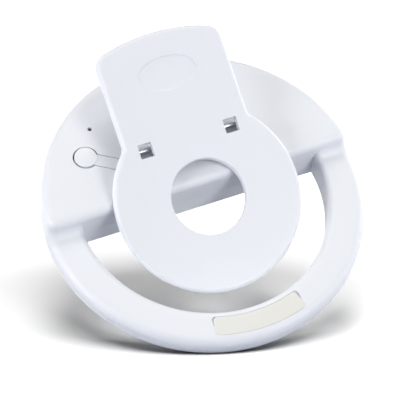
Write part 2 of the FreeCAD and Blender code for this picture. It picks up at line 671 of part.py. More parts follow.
def make_socket_shell():
    """Metal shell of the charging socket, open towards the rim."""
    half = SOCKET_WIDTH / 2.0
    outer = block(SOCKET_X - half, SOCKET_X + half, SOCKET_BACK, CONTROL_BACK, SOCKET_FRONT - SOCKET_DEPTH,
                  SOCKET_FRONT)

    def along(edge):
        return edge.BoundBox.ZLength > SOCKET_DEPTH / 2.0

    outer = round_edges(outer, SOCKET_CORNER, along)
    inner = block(SOCKET_X - half + SOCKET_SKIN, SOCKET_X + half - SOCKET_SKIN, SOCKET_BACK + SOCKET_SKIN,
                  CONTROL_BACK - SOCKET_SKIN, SOCKET_FRONT - SOCKET_DEPTH - OVERLAP, SOCKET_FRONT + OVERLAP)
    inner = round_edges(inner, SOCKET_CORNER - SOCKET_SKIN / 2.0, along)
    return outer.cut(inner)


def make_socket_tongue():
    """Plastic base and contact tongue inside the charging socket."""
    gap = SOCKET_SKIN + COVER_CLEARANCE
    half = SOCKET_WIDTH / 2.0 - gap
    rear = SOCKET_FRONT - SOCKET_DEPTH
    base = block(SOCKET_X - half, SOCKET_X + half, SOCKET_BACK + gap, CONTROL_BACK - gap, rear,
                 rear + SOCKET_BASE_DEPTH)

    def along(edge):
        return edge.BoundBox.ZLength > SOCKET_BASE_DEPTH / 2.0

    base = round_edges(base, SOCKET_CORNER, along)
    middle = (SOCKET_BACK + CONTROL_BACK) / 2.0
    blade = block(SOCKET_X - SOCKET_TONGUE_WIDTH / 2.0, SOCKET_X + SOCKET_TONGUE_WIDTH / 2.0,
                  middle - SOCKET_TONGUE_THICKNESS / 2.0, middle + SOCKET_TONGUE_THICKNESS / 2.0,
                  rear + SOCKET_BASE_DEPTH / 2.0, SOCKET_FRONT - SOCKET_TONGUE_SETBACK)
    return base.fuse(blade).removeSplitter()


def make_battery_cell():
    """Soft pouch cell with rounded edges."""
    cell = block(BATTERY_LEFT, BATTERY_RIGHT, BATTERY_BACK, BATTERY_FRONT, BATTERY_BOTTOM, BATTERY_TOP)
    return cell.makeFillet(BATTERY_ROUNDING, cell.Edges)


def make_battery_tape():
    """Foam tape that holds the cell to the rear cover."""
    return block(BATTERY_LEFT + TAPE_MARGIN, BATTERY_RIGHT - TAPE_MARGIN, CAVITY_BACK, BATTERY_BACK,
                 BATTERY_BOTTOM + TAPE_MARGIN, BATTERY_TOP - TAPE_MARGIN)


def guard_right():
    """Right face of the protection strip, just short of the cell."""
    return BATTERY_LEFT - GUARD_GAP


def make_protection_board():
    """Narrow protection board on the cell's left end."""
    middle_z = BATTERY_BOTTOM + BATTERY_WIDTH / 2.0
    middle_y = (BATTERY_BACK + BATTERY_FRONT) / 2.0
    return block(guard_right() - GUARD_THICKNESS, guard_right(), middle_y - GUARD_DEPTH / 2.0,
                 middle_y + GUARD_DEPTH / 2.0, middle_z - GUARD_LENGTH / 2.0, middle_z + GUARD_LENGTH / 2.0)


def make_battery_lead(side):
    """One battery lead, from the protection strip to the back of the control board."""
    rise = side * LEAD_SPACING / 2.0
    start_z = BATTERY_BOTTOM + BATTERY_WIDTH / 2.0 + rise
    nearest_screw = max(SCREW_PLACES)
    end_z = nearest_screw[1] + rise
    y = CAVITY_BACK + FENCE_HEIGHT - 2.0 * BATTERY_LEAD_RADIUS
    start_x = guard_right() - GUARD_THICKNESS
    end_x = CONTROL_RIGHT - LEAD_END_INSET
    points = [
        Vector(start_x, y, start_z),
        Vector((start_x + CONTROL_RIGHT) / 2.0, y, start_z),
        Vector(end_x, y, end_z),
        Vector(end_x, CONTROL_BACK, end_z),
    ]
    return tube(points, BATTERY_LEAD_RADIUS)


def make_led_lead(side):
    """One light lead, from the control board through the floor to the light board."""
    angle = math.radians(LED_LEAD_ANGLE)
    outward = Vector(math.cos(angle), 0, math.sin(angle))
    across = Vector(-math.sin(angle), 0, math.cos(angle)) * (side * LED_LEAD_SPACING / 2.0)
    lift = Vector(0, CONTROL_FRONT + LED_LEAD_RADIUS + LED_LEAD_LIFT, 0)
    start = outward * (LED_RING_RADIUS - LED_LEAD_RUN) + across + lift
    bend = outward * LED_RING_RADIUS + across + lift
    end = Vector(bend.x, BOARD_BACK, bend.z)
    return tube([start, bend, end], LED_LEAD_RADIUS)


def plate_outline(y_from, y_to):
    """Outline of the clip lever: a round disc that runs into a tab with a curved top."""
    centre = -DISC_BELOW_HINGE
    plate = disc(DISC_RADIUS, y_from, y_to, 0.0, centre)
    arc_centre = TAB_LENGTH - TAB_TOP_RADIUS
    shoulder = arc_centre + math.sqrt(TAB_TOP_RADIUS ** 2 - TAB_HALF_WIDTH ** 2)
    low_left = Vector(-TAB_HALF_WIDTH, y_from, centre)
    low_right = Vector(TAB_HALF_WIDTH, y_from, centre)
    top_left = Vector(-TAB_HALF_WIDTH, y_from, shoulder)
    top_right = Vector(TAB_HALF_WIDTH, y_from, shoulder)
    crest = Vector(0, y_from, TAB_LENGTH)
    tab = prism([
        Part.LineSegment(low_left, top_left),
        Part.Arc(top_left, crest, top_right),
        Part.LineSegment(top_right, low_right),
        Part.LineSegment(low_right, low_left),
    ], Vector(0, y_to - y_from, 0))

    def top_corner(edge):
        return along_depth(edge) and edge.BoundBox.ZMin > shoulder - OVERLAP

    tab = round_edges(tab, TAB_CORNER_RADIUS, top_corner)
    plate = plate.fuse(tab).removeSplitter()
    join = centre + math.sqrt(DISC_RADIUS ** 2 - TAB_HALF_WIDTH ** 2)

    def join_corner(edge):
        box = edge.BoundBox
        at_side = abs(abs(box.XMin) - TAB_HALF_WIDTH) < TOLERANCE
        return along_depth(edge) and at_side and abs(box.ZMin - join) < TOLERANCE

    return round_edges(plate, TAB_JOIN_RADIUS, join_corner)


def thumb_pocket():
    """The shallow oval pocket that a thumb rests in."""
    centre = Vector(0, PLATE_OUTER - OVERLAP, THUMB_ABOVE_HINGE)
    oval = Part.Ellipse(centre + Vector(THUMB_HALF_LENGTH, 0, 0), centre + Vector(0, 0, THUMB_HALF_WIDTH), centre)
    return Part.Face(Part.Wire([oval.toShape()])).extrude(Vector(0, OVERLAP + THUMB_DEPTH, 0))


def make_clip_lever():
    """Clip lever: plate, lens hole, two windows, thumb pocket and four hinge ears."""
    lever = plate_outline(PLATE_OUTER, PLATE_INNER)
    lever = round_edges(lever, PLATE_EDGE_ROUNDING, lambda edge: lies_at(edge, PLATE_OUTER))
    hole = disc(LENS_HOLE_RADIUS, PLATE_OUTER - OVERLAP, PLATE_INNER + OVERLAP, 0.0, -DISC_BELOW_HINGE)
    lever = lever.cut(hole)

    def hole_edge(edge):
        round_hole = abs(edge.BoundBox.XLength - 2.0 * LENS_HOLE_RADIUS) < TOLERANCE
        return round_hole and lies_at(edge, PLATE_OUTER)

    lever = round_edges(lever, LENS_HOLE_ROUNDING, hole_edge)
    lever = lever.cut(thumb_pocket())

    def pocket_edge(edge):
        oval = abs(edge.BoundBox.XLength - 2.0 * THUMB_HALF_LENGTH) < TOLERANCE
        return oval and (lies_at(edge, PLATE_OUTER) or lies_at(edge, PLATE_OUTER + THUMB_DEPTH))

    lever = round_edges(lever, THUMB_ROUNDING, pocket_edge)
    half = WINDOW_SIZE / 2.0
    inner_edge = LUG_OFFSET - LUG_WIDTH / 2.0 - KNUCKLE_GAP
    outer_edge_x = LUG_OFFSET + LUG_WIDTH / 2.0 + KNUCKLE_GAP
    for side in (-1, 1):
        for near in (inner_edge - EAR_WIDTH, outer_edge_x):
            x_from, x_to = sorted((side * near, side * (near + EAR_WIDTH)))
            lever = lever.fuse(knuckle(x_from, x_to, PLATE_INNER - OVERLAP))
        lever = lever.cut(block(side * LUG_OFFSET - half, side * LUG_OFFSET + half, PLATE_OUTER - OVERLAP,
                                PLATE_INNER + OVERLAP, -WINDOW_BELOW_HINGE - half, -WINDOW_BELOW_HINGE + half))
    lever = lever.cut(rod_x(PIN_RADIUS + PIN_RUNNING_CLEARANCE, -TAB_HALF_WIDTH, TAB_HALF_WIDTH))
    return placed_on_clip(lever.removeSplitter())


def make_clip_pad():
    """Soft pad on the inner face of the disc, below the housing's step."""
    outer = disc(DISC_RADIUS - CLIP_PAD_EDGE_MARGIN, PLATE_INNER, PLATE_INNER + CLIP_PAD_THICKNESS, 0.0,
                 -DISC_BELOW_HINGE)
    inner = disc(CLIP_PAD_INNER_RADIUS, PLATE_INNER - OVERLAP, PLATE_INNER + CLIP_PAD_THICKNESS + OVERLAP, 0.0,
                 -DISC_BELOW_HINGE)
    lower = block(-DISC_RADIUS, DISC_RADIUS, PLATE_INNER - OVERLAP, PLATE_INNER + CLIP_PAD_THICKNESS + OVERLAP,
                  -DISC_BELOW_HINGE - DISC_RADIUS, -DISC_BELOW_HINGE - CLIP_PAD_DROP)
    return placed_on_clip(outer.cut(inner).common(lower))


def make_hinge_pin():
    """Steel pin, pressed into the two lugs, on which the lever turns."""
    reach = LUG_OFFSET + LUG_WIDTH / 2.0 + KNUCKLE_GAP + EAR_WIDTH + PIN_OVERHANG
    pin = rod_x(PIN_RADIUS, -reach, reach, HINGE_Y, HINGE_HEIGHT)
    return round_edges(pin, PIN_RADIUS / 3.0, lambda edge: edge.BoundBox.XLength < TOLERANCE)


def coil_point(angle):
    """A point of the coil; the angle runs from the housing side and falls turn by turn."""
    total = 2.0 * math.pi * COIL_TURNS + math.pi - math.radians(CLIP_TILT)
    along = COIL_PITCH / (2.0 * math.pi)
    x = along * (-angle - total / 2.0)
    y = HINGE_Y + COIL_RADIUS * math.cos(angle)
    z = HINGE_HEIGHT + COIL_RADIUS * math.sin(angle)
    return Vector(x, y, z)


def coil_heading(angle):
    """Unit direction of travel along the coil at an angle."""
    along = COIL_PITCH / (2.0 * math.pi)
    heading = Vector(along, COIL_RADIUS * math.sin(angle), -COIL_RADIUS * math.cos(angle))
    return heading.normalize()


def arc_from(start, heading, end):
    """The arc that leaves start along a heading and reaches end."""
    chord = end - start
    across = (chord - heading * chord.dot(heading)).normalize()
    radius = chord.dot(chord) / (2.0 * chord.dot(across))
    centre = start + across * radius
    middle = centre + ((start - centre) + (end - centre)).normalize() * radius
    return Part.Arc(start, middle, end)


def biarc(start, heading, end, end_heading):
    """Two arcs that join smoothly and keep both end headings."""
    reach = end - start
    both = heading + end_heading
    spread = 2.0 * (1.0 - heading.dot(end_heading))
    slope = reach.dot(both)
    arm = (-slope + math.sqrt(slope ** 2 + spread * reach.dot(reach))) / spread
    joint = (start + heading * arm + end - end_heading * arm) * 0.5
    first = arc_from(start, heading, joint)
    back = arc_from(end, end_heading * -1.0, joint)
    last = Part.Arc(joint, back.value((back.FirstParameter + back.LastParameter) / 2.0), end)
    return [first.toShape(), last.toShape()]


def spring_gap(total):
    """Least gap between turns, measured on points of the coil."""
    count = int(total / (2.0 * math.pi) * POINTS_PER_TURN)
    points = [coil_point(-total * index / count) for index in range(count + 1)]
    apart = POINTS_PER_TURN // 2
    gaps = [points[first].distanceToPoint(points[second])
            for first in range(len(points)) for second in range(first + apart, len(points))]
    return min(gaps) - 2.0 * WIRE_RADIUS


def make_torsion_spring():
    """Torsion spring about the hinge pin: one unbroken wire with a leg at each end."""
    total = 2.0 * math.pi * COIL_TURNS + math.pi - math.radians(CLIP_TILT)
    pieces = int(math.ceil(total / (math.pi / 2.0)))
    angles = [-total * index / pieces for index in range(pieces + 1)]
    first_end = coil_point(0.0)
    last_end = coil_point(-total)
    edges = [Part.LineSegment(first_end - coil_heading(0.0) * SPRING_LEG, first_end).toShape()]
    for before, after in zip(angles[:-1], angles[1:]):
        edges += biarc(coil_point(before), coil_heading(before), coil_point(after), coil_heading(after))
    edges.append(Part.LineSegment(last_end, last_end + coil_heading(-total) * SPRING_LEG).toShape())
    path = Part.Wire(edges)
    start = first_end - coil_heading(0.0) * SPRING_LEG
    section = Part.Wire(Part.makeCircle(WIRE_RADIUS, start, coil_heading(0.0)))
    spring = path.makePipeShell([section], True, False)
    print("torsion_spring least gap to itself", round(spring_gap(total), 3), "mm")
    print("torsion_spring volume", round(spring.Volume, 3), "expected",
          round(math.pi * WIRE_RADIUS ** 2 * path.Length, 3))
    return spring.Solids[0]


NODES = {
    "rear_cover": make_rear_cover,
    "front_frame": make_front_frame,
    "light_cover": make_light_cover,
    "light_board": make_light_board,
    "leds": make_leds,
    "led_resistors": make_led_resistors,
    "ring_pad": make_ring_pad,
    "control_board": make_control_board,
    "charger_chip": make_charger_chip,
    "driver_chip": lambda: on_board(from_rim(DRIVER_ANGLE, DRIVER_RIM_GAP), DRIVER_SIZE),
    "board_passives": make_passives,
    "board_screws": make_board_screws,
    "charge_led": make_charge_led,
    "light_pipe": make_light_pipe,
    "switch_body": make_switch_body,
    "switch_plunger": make_switch_plunger,
    "power_button": make_power_button,
    "socket_shell": make_socket_shell,
    "socket_tongue": make_socket_tongue,
    "battery_cell": make_battery_cell,
    "battery_tape": make_battery_tape,
    "battery_protection_board": make_protection_board,
    "battery_lead_red": lambda: make_battery_lead(1),
    "battery_lead_black": lambda: make_battery_lead(-1),
    "led_lead_red": lambda: make_led_lead(1),
    "led_lead_black": lambda: make_led_lead(-1),
    "clip_lever": make_clip_lever,
    "clip_pad": make_clip_pad,
    "hinge_pin": make_hinge_pin,
    "torsion_spring": make_torsion_spring,
}


def main():
    """Build every piece and write one file for each."""
    os.makedirs("parts", exist_ok=True)
    for name, make in NODES.items():
        shape = make()
        print(name, "valid", shape.isValid(), "solids", len(shape.Solids), "volume", round(shape.Volume, 2))
        shape.exportStep("parts/" + name + ".step")


main()
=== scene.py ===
import json
import math

import bmesh
import bpy
from mathutils import Matrix, Vector


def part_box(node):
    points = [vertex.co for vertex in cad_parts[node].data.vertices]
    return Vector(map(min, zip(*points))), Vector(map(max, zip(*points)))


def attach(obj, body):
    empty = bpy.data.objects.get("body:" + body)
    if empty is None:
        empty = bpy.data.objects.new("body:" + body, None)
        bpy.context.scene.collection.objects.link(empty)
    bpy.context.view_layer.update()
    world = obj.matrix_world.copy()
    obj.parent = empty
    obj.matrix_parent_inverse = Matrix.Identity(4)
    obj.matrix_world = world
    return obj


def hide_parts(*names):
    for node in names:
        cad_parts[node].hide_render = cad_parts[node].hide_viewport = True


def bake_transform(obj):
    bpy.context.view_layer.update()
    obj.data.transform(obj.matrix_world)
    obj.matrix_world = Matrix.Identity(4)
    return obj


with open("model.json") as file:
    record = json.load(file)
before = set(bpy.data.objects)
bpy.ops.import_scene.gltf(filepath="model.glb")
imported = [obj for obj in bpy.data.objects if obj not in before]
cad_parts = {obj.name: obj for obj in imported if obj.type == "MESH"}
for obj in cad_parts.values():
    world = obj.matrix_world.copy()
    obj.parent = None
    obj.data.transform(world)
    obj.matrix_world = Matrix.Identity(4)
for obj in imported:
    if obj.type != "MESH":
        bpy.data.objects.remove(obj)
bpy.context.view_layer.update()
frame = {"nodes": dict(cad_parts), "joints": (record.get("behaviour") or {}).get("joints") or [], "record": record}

MM = 0.001
QUARTER_TURN = 90.0
NODES = frame["nodes"]
JOINTS = {joint["name"]: joint for joint in frame["joints"]}
HINGE = Vector(JOINTS["clip_hinge"]["pos_m"])

# The camera, from a fit to the photograph, in the object's own axes
LENS = 216.0
SENSOR = 36.0
CAMERA_DISTANCE = 626.1 * MM
CAMERA_TARGET = Vector((-1.07, 0.0, 0.04)) * MM
CAMERA_YAW = math.radians(17.99)
CAMERA_PITCH = math.radians(26.108)
CAMERA_ROLL = math.radians(-25.485)

# The floor, level as the camera sees it. It turns pure white between two distances from the object,
# and it has a darker colour for the light that it bounces than for the eye.
LOOK_DOWN = math.radians(12.0)
FLOOR_RADIUS = 4.0
FLOOR_SIDES = 64
FLOOR_BOUNCE = (0.098, 0.107, 0.142)
FLOOR_SEEN = (0.5, 0.5, 0.5)
FLOOR_LIFT = 1.0
LIFT_STARTS = 0.1
LIFT_ENDS = 0.25
SKY_COLOUR = (1.0, 1.0, 1.0, 1.0)
DIRECT_RAYS = ("Is Camera Ray", "Is Glossy Ray", "Is Transmission Ray")

# Soft lamps, each a name, a power and a place to the right, up and near as the camera sees it.
# Those of the object are kept off the floor, those of the floor give it the shadow alone, and two
# behind show the light side and the clip's inner side, so that they don't shine through the opening.
LAMP_SIZE = 0.5
OBJECT_LAMPS = (
    ("lamp_left", 3.4, (-1.0, 0.2, 0.1)),
    ("lamp_left_front", 6.9, (-0.8, 0.05, 0.6)),
    ("lamp_right_front", 4.6, (0.7, 0.15, 0.7)),
    ("lamp_right", 2.5, (1.0, 0.2, 0.1)),
    ("lamp_right_back", 3.2, (0.75, 0.45, -0.5)),
    ("lamp_top", 3.4, (0.0, 1.0, 0.0)),
    ("lamp_top_front", 0.9, (0.0, 0.75, 0.65)),
)
FLOOR_LAMPS = (
    ("floor_lamp_top", 6.8, (0.0, 1.0, 0.0)),
    ("floor_lamp_front", 17.2, (0.0, 0.75, 0.65)),
    ("floor_lamp_right", 9.4, (0.5, 0.7, 0.5)),
    ("floor_lamp_left", 2.6, (-0.5, 0.7, 0.5)),
)
BACK_LAMPS = (
    ("lamp_back", 9.0, (0.0, 0.2, -1.0)),
)
CLIP_LAMPS = (
    ("lamp_clip_back", 3.0, (0.0, 0.2, -1.0)),
)
LIGHT_SIDE = ("front_frame", "light_cover", "light_board", "led_resistors", "led_bodies", "led_windows",
              "led_ends", "clip_pad_soft")
CLIP_SIDE = ("clip_lever",)

# Noise, whose scales are in features per metre and whose factor lies mostly between two limits
NOISE_LOW = 0.3
NOISE_HIGH = 0.7
NOISE_DETAIL = 2.0
GRAIN_DETAIL = 3.0
PATCH_SCALE = 40.0

# Surfaces. Each has the two tones that it wanders between, the limits of its roughness, the scale and
# the depth in metres of its grain, and the shader's values that set it apart.
SURFACES = {
    "white_shell": (((0.85, 0.868, 0.9), (0.865, 0.883, 0.915)), (0.36, 0.44), (2600.0, 0.000004),
                    {"Specular IOR Level": 0.35}),
    "clear_cover": (((0.9, 0.91, 0.91), (0.93, 0.94, 0.935)), (0.24, 0.32), (1800.0, 0.00001),
                    {"Alpha": 0.22, "IOR": 1.49}),
    "led_body": (((0.84, 0.83, 0.78), (0.88, 0.87, 0.83)), (0.35, 0.5), (3000.0, 0.000005), {}),
    "led_phosphor": (((0.86, 0.62, 0.09), (0.93, 0.7, 0.13)), (0.3, 0.45), (5000.0, 0.00001), {}),
    "chip_parts": (((0.07, 0.065, 0.06), (0.11, 0.1, 0.09)), (0.4, 0.6), (3000.0, 0.00001), {}),
    "cream_pad": (((0.8, 0.79, 0.735), (0.835, 0.825, 0.775)), (0.55, 0.7), (1500.0, 0.00002), {}),
    "black_parts": (((0.02, 0.02, 0.022), (0.035, 0.035, 0.036)), (0.45, 0.6), (2500.0, 0.00001), {}),
    "plated_steel": (((0.62, 0.63, 0.64), (0.72, 0.72, 0.72)), (0.16, 0.28), (1500.0, 0.000003),
                     {"Metallic": 1.0}),
    "smoked_pipe": (((0.06, 0.06, 0.07), (0.1, 0.1, 0.11)), (0.1, 0.2), (2000.0, 0.000004), {}),
    "foil_pouch": (((0.6, 0.61, 0.63), (0.7, 0.71, 0.72)), (0.3, 0.45), (700.0, 0.00004),
                   {"Metallic": 0.8}),
    "foam_tape": (((0.78, 0.78, 0.76), (0.86, 0.86, 0.84)), (0.8, 0.95), (1200.0, 0.00008), {}),
    "red_lead": (((0.42, 0.015, 0.015), (0.52, 0.03, 0.03)), (0.35, 0.5), (1500.0, 0.00001), {}),
    "black_lead": (((0.012, 0.012, 0.013), (0.025, 0.025, 0.025)), (0.35, 0.5), (1500.0, 0.00001), {}),
    "grey_pad": (((0.66, 0.68, 0.69), (0.72, 0.735, 0.74)), (0.55, 0.7), (1300.0, 0.00003), {}),
    "dark_steel": (((0.5, 0.52, 0.54), (0.6, 0.62, 0.64)), (0.22, 0.32), (1500.0, 0.000002),
                   {"Metallic": 1.0}),
    "spring_steel": (((0.42, 0.42, 0.43), (0.55, 0.55, 0.55)), (0.22, 0.36), (2500.0, 0.000003),
                     {"Metallic": 1.0}),
    "gold_contact": (((0.75, 0.53, 0.2), (0.83, 0.62, 0.28)), (0.18, 0.3), (2500.0, 0.000003),
                     {"Metallic": 1.0}),
}
# Drawn steel, whose grain is longer along the hinge's direction
DRAWN = ("plated_steel", "dark_steel")
DRAWN_STRETCH = (0.15, 1.0, 1.0)
# Circuit boards. Each has the colour of its solder mask and of the traces under it, and their scale.
BOARDS = {
    "white_board": ((0.82, 0.82, 0.8), (0.72, 0.72, 0.69), 260.0),
    "green_board": ((0.01, 0.085, 0.04), (0.016, 0.13, 0.06), 300.0),
}
TRACE_WIDTH = 0.03
TRACE_DEPTH = 0.00003
MASK_GRAIN = 900.0
MASK_ROUGHNESS = (0.35, 0.5)

# Pads. The steps are those of their outline, of their rounded edge and of their raised middle. The
# middle's reach and the largest corner are shares of the half width, the least one of the corner.
PAD_STEPS_ALONG = 24
PAD_STEPS_ACROSS = 6
PAD_CORNER_STEPS = 6
PAD_EDGE_STEPS = 6
PAD_CROWN_STEPS = 6
PAD_CROWN_REACH = 0.86
PAD_LEAST_CORNER = 0.2
PAD_LARGEST_CORNER = 0.98
RING_PAD_HALF_WIDTH = 2.65 * MM
RING_PAD_EDGE = 0.3 * MM
RING_PAD_CORNER = 1.0 * MM
RING_PAD_CROWN = 0.04 * MM
CLIP_TILT = math.radians(22.0)
CLIP_PLATE_INNER = -2.3 * MM
CLIP_DISC_CENTRE = -16.75 * MM
CLIP_PAD_THICKNESS = 1.0 * MM
CLIP_PAD_MIDDLE_RADIUS = 17.4 * MM
CLIP_PAD_HALF_WIDTH = 5.9 * MM
CLIP_PAD_HALF_ANGLE = math.radians(87.0)
CLIP_PAD_CORNER = 1.6 * MM
CLIP_PAD_EDGE = 0.45 * MM
CLIP_PAD_CROWN = 0.05 * MM

# Spring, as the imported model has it
WIRE_RADIUS = 0.4 * MM
WIRE_SIDES = 14
COIL_RADIUS = 1.55 * MM
COIL_TURNS = 8
COIL_PITCH = 1.25 * MM
COIL_STEP = math.radians(9.0)
SPRING_LEG = 7.5 * MM
SPRING_LEG_STEPS = 6

# Small blocks, whose edges are rounded in two steps
BLOCK_EDGE_STEPS = 2
BLOCK_EDGE_PROFILE = 0.5

# Light sources: a white frame around a sunk yellow window, with silver ends that reach into the frame
LED_COUNT = 36
LED_LENGTH = 3.5 * MM
LED_WIDTH = 2.8 * MM
LED_HEIGHT = 0.7 * MM
LED_WALL = 0.3 * MM
LED_RIM = 0.16 * MM
LED_EDGE = 0.06 * MM
LED_WINDOW_GAP = 0.02 * MM
LED_WINDOW_SINK = LED_RIM / 2.0
LED_END_OVERLAP = 0.02 * MM
LED_END_HEIGHT = LED_HEIGHT / 2.5
LED_END_EDGE = LED_EDGE / 2.0

# Contacts of the charging socket, measured from the middle and the ends of its tongue
CONTACT_COUNT = 5
CONTACT_PITCH = 0.65 * MM
CONTACT_HALF_WIDTH = 0.15 * MM
CONTACT_OUTER = 0.37 * MM
CONTACT_INNER = 0.29 * MM
CONTACT_START = 1.4 * MM
CONTACT_END = 0.3 * MM
CONTACT_EDGE = 0.02 * MM


def view_axes():
    """The camera's right, up and backward directions."""
    ahead = Vector((
        math.sin(CAMERA_YAW) * math.cos(CAMERA_PITCH),
        math.cos(CAMERA_YAW) * math.cos(CAMERA_PITCH),
        math.sin(CAMERA_PITCH),
    ))
    level_right = Vector((math.cos(CAMERA_YAW), -math.sin(CAMERA_YAW), 0.0))
    level_up = level_right.cross(ahead)
    right = level_right * math.cos(CAMERA_ROLL) + level_up * math.sin(CAMERA_ROLL)
    up = level_up * math.cos(CAMERA_ROLL) - level_right * math.sin(CAMERA_ROLL)
    return right, up, -ahead


def from_axes(right, up, back, place):
    """A placement whose axes are three directions."""
    turn = Matrix((right, up, back)).transposed().to_4x4()
    turn.translation = place
    return turn


RIGHT, UP, BACK = view_axes()
FLOOR_UP = (UP * math.cos(LOOK_DOWN) + BACK * math.sin(LOOK_DOWN)).normalized()
FLOOR_NEAR = RIGHT.cross(FLOOR_UP)


def make_camera():
    """The camera at the photograph's angle."""
    data = bpy.data.cameras.new("camera")
    data.lens = LENS
    data.sensor_width = SENSOR
    camera = bpy.data.objects.new("camera", data)
    bpy.context.scene.collection.objects.link(camera)
    camera.matrix_world = from_axes(RIGHT, UP, BACK, CAMERA_TARGET + BACK * CAMERA_DISTANCE)
    bpy.context.scene.camera = camera


def new_material(name):
    """An empty node material with its output."""
    material = bpy.data.materials.new(name)
    material.use_nodes = True
    tree = material.node_tree
    tree.nodes.clear()
    output = tree.nodes.new("ShaderNodeOutputMaterial")
    return material, tree, output


def object_coordinates(tree):
    """Coordinates that stay on the piece, in metres."""
    return tree.nodes.new("ShaderNodeTexCoord").outputs["Object"]


def noise(tree, scale, detail=NOISE_DETAIL, stretch=None):
    """A noise texture's factor."""
    texture = tree.nodes.new("ShaderNodeTexNoise")
    texture.inputs["Scale"].default_value = scale
    texture.inputs["Detail"].default_value = detail
    place = object_coordinates(tree)
    if stretch:
        mapping = tree.nodes.new("ShaderNodeMapping")
        mapping.inputs["Scale"].default_value = stretch
        tree.links.new(place, mapping.inputs["Vector"])
        place = mapping.outputs["Vector"]
    tree.links.new(place, texture.inputs["Vector"])
    return texture.outputs["Fac"]


def spread(tree, factor, low, high):
    """A noise's factor stretched to run from low to high."""
    node = tree.nodes.new("ShaderNodeMapRange")
    node.inputs["From Min"].default_value = NOISE_LOW
    node.inputs["From Max"].default_value = NOISE_HIGH
    node.inputs["To Min"].default_value = low
    node.inputs["To Max"].default_value = high
    tree.links.new(factor, node.inputs["Value"])
    return node.outputs["Result"]


def two_tone(tree, factor, first, second):
    """A colour between two tones.

    The node repeats its sockets' names for each kind of value, so those of the
    colours are picked by their kind.
    """
    node = tree.nodes.new("ShaderNodeMix")
    node.data_type = "RGBA"
    colours = [socket for socket in node.inputs if socket.type == "RGBA"]
    for socket, tone in zip(colours, (first, second)):
        socket.default_value = (*tone, 1.0)
    tree.links.new(factor, node.inputs[0])
    return next(socket for socket in node.outputs if socket.type == "RGBA")


def bump(tree, height, depth):
    """A bump whose depth is in metres."""
    node = tree.nodes.new("ShaderNodeBump")
    node.inputs["Strength"].default_value = 1.0
    node.inputs["Distance"].default_value = depth
    tree.links.new(height, node.inputs["Height"])
    return node.outputs["Normal"]


def surface(name, tones, roughness, grain, fixed, stretch):
    """A moulded, rolled or drawn surface, from its row of the table."""
    material, tree, output = new_material(name)
    shader = tree.nodes.new("ShaderNodeBsdfPrincipled")
    patches = spread(tree, noise(tree, PATCH_SCALE), 0.0, 1.0)
    tree.links.new(two_tone(tree, patches, *tones), shader.inputs["Base Color"])
    scale, depth = grain
    fine = noise(tree, scale, GRAIN_DETAIL, stretch)
    tree.links.new(spread(tree, fine, *roughness), shader.inputs["Roughness"])
    tree.links.new(bump(tree, fine, depth), shader.inputs["Normal"])
    for socket, value in fixed.items():
        shader.inputs[socket].default_value = value
    tree.links.new(shader.outputs["BSDF"], output.inputs["Surface"])
    return material


def board_surface(name, mask, trace, trace_scale):
    """A circuit board: solder mask with faint raised copper traces under it."""
    material, tree, output = new_material(name)
    shader = tree.nodes.new("ShaderNodeBsdfPrincipled")
    bricks = tree.nodes.new("ShaderNodeTexBrick")
    bricks.inputs["Scale"].default_value = trace_scale
    bricks.inputs["Mortar Size"].default_value = TRACE_WIDTH
    turn = tree.nodes.new("ShaderNodeMapping")
    turn.inputs["Rotation"].default_value = (math.radians(QUARTER_TURN), 0.0, 0.0)
    tree.links.new(object_coordinates(tree), turn.inputs["Vector"])
    tree.links.new(turn.outputs["Vector"], bricks.inputs["Vector"])
    tree.links.new(two_tone(tree, bricks.outputs["Fac"], mask, trace), shader.inputs["Base Color"])
    tree.links.new(bump(tree, bricks.outputs["Fac"], TRACE_DEPTH), shader.inputs["Normal"])
    rough = spread(tree, noise(tree, MASK_GRAIN), *MASK_ROUGHNESS)
    tree.links.new(rough, shader.inputs["Roughness"])
    tree.links.new(shader.outputs["BSDF"], output.inputs["Surface"])
    return material


def seen_directly(tree):
    """A factor of 1 for rays from the camera, and for those seen in gloss or through glass."""
    rays = tree.nodes.new("ShaderNodeLightPath")
    seen = rays.outputs[DIRECT_RAYS[0]]
    for other in DIRECT_RAYS[1:]:
        either = tree.nodes.new("ShaderNodeMath")
        either.operation = "MAXIMUM"
        tree.links.new(seen, either.inputs[0])
        tree.links.new(rays.outputs[other], either.inputs[1])
        seen = either.outputs[0]
    return seen


def floor_lift(tree, seen):
    """The strength that lifts the floor, where it is seen, to pure white away from the object."""
    away = tree.nodes.new("ShaderNodeVectorMath")
    away.operation = "LENGTH"
    tree.links.new(object_coordinates(tree), away.inputs[0])
    grows = tree.nodes.new("ShaderNodeMapRange")
    grows.interpolation_type = "SMOOTHSTEP"
    grows.inputs["From Min"].default_value = LIFT_STARTS
    grows.inputs["From Max"].default_value = LIFT_ENDS
    grows.inputs["To Max"].default_value = FLOOR_LIFT
    tree.links.new(away.outputs["Value"], grows.inputs["Value"])
    lift = tree.nodes.new("ShaderNodeMath")
    lift.operation = "MULTIPLY"
    tree.links.new(seen, lift.inputs[0])
    tree.links.new(grows.outputs["Result"], lift.inputs[1])
    return lift.outputs[0]


